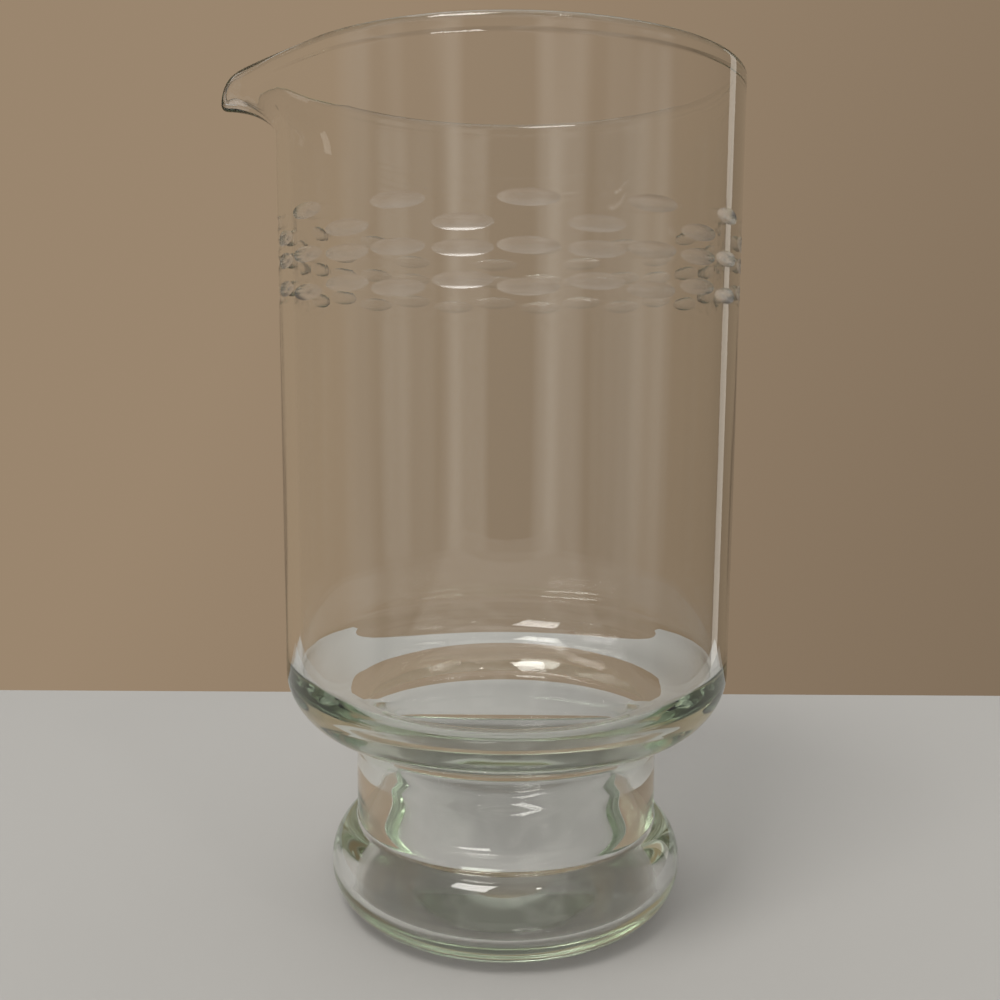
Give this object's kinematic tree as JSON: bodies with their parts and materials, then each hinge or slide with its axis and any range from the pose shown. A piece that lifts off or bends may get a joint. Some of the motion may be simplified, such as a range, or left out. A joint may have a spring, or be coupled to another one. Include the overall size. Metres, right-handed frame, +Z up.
{
  "type": "cocktail pitcher",
  "caption": "Clear glass cocktail pitcher: a tall straight bowl with a pulled pour lip and a band of cut ovals, on a short hollow neck and a round hollow foot.",
  "frame": {"origin": "centre of the foot's flat underside, on the pitcher's axis", "axes": "+Z up along the pitcher's axis; the pour lip points along -X; Y is across the lip"},
  "size_m": [0.1245, 0.11, 0.2015],
  "materials": {
    "clear_glass": "clear, fire-polished, faintly green where thick"
  },
  "bodies": {
    "root": {"bowl": "clear_glass", "foot": "clear_glass"}
  },
  "joints": []
}
